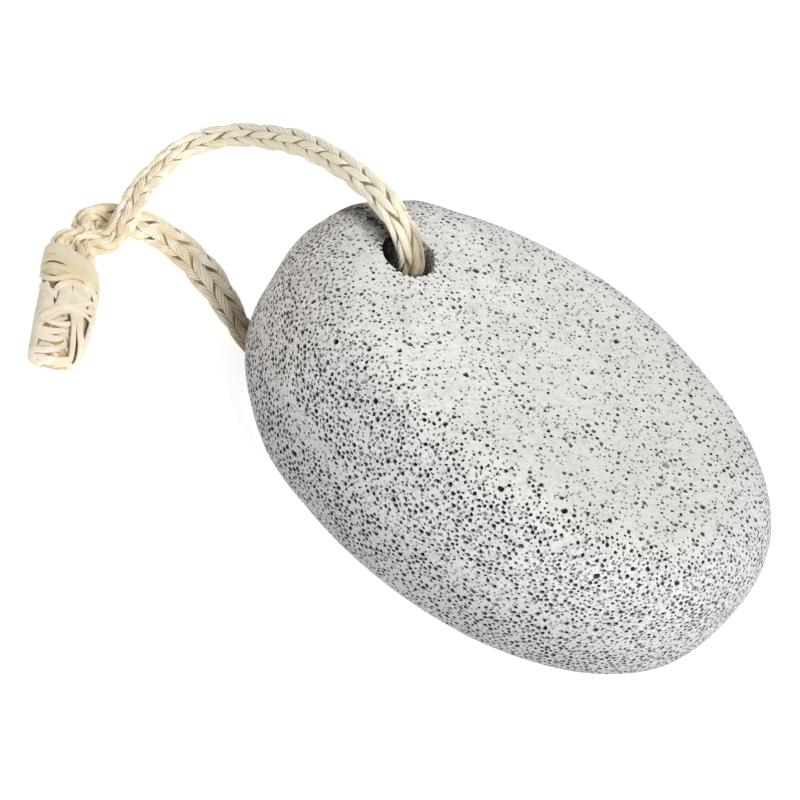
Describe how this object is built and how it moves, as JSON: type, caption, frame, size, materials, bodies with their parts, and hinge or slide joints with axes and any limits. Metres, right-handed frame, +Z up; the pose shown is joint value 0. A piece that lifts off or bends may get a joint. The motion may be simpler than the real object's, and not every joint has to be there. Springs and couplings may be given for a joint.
{
  "type": "pumice stone",
  "caption": "Oval pumice foot stone with a porous surface, flat worn faces and a braided cotton hanging cord through a hole near its end.",
  "frame": {"origin": "middle of the stone's flat underside, which is what it rests on", "axes": "+Z up, shortest extent of the stone; +X along the stone, its longest extent, away from the cord hole; the free cord lies at -X"},
  "size_m": [0.1373, 0.0695, 0.0461],
  "materials": {
    "pumice": null,
    "braided_cotton": "matt undyed cotton",
    "wound_yarn": "matt undyed cotton",
    "frayed_cotton": "matt undyed cotton, loosened"
  },
  "bodies": {
    "root": {"pumice_stone": "pumice", "hanging_cord": "braided_cotton", "cord_binding": "wound_yarn", "frayed_cord_ends": "frayed_cotton"}
  },
  "joints": []
}
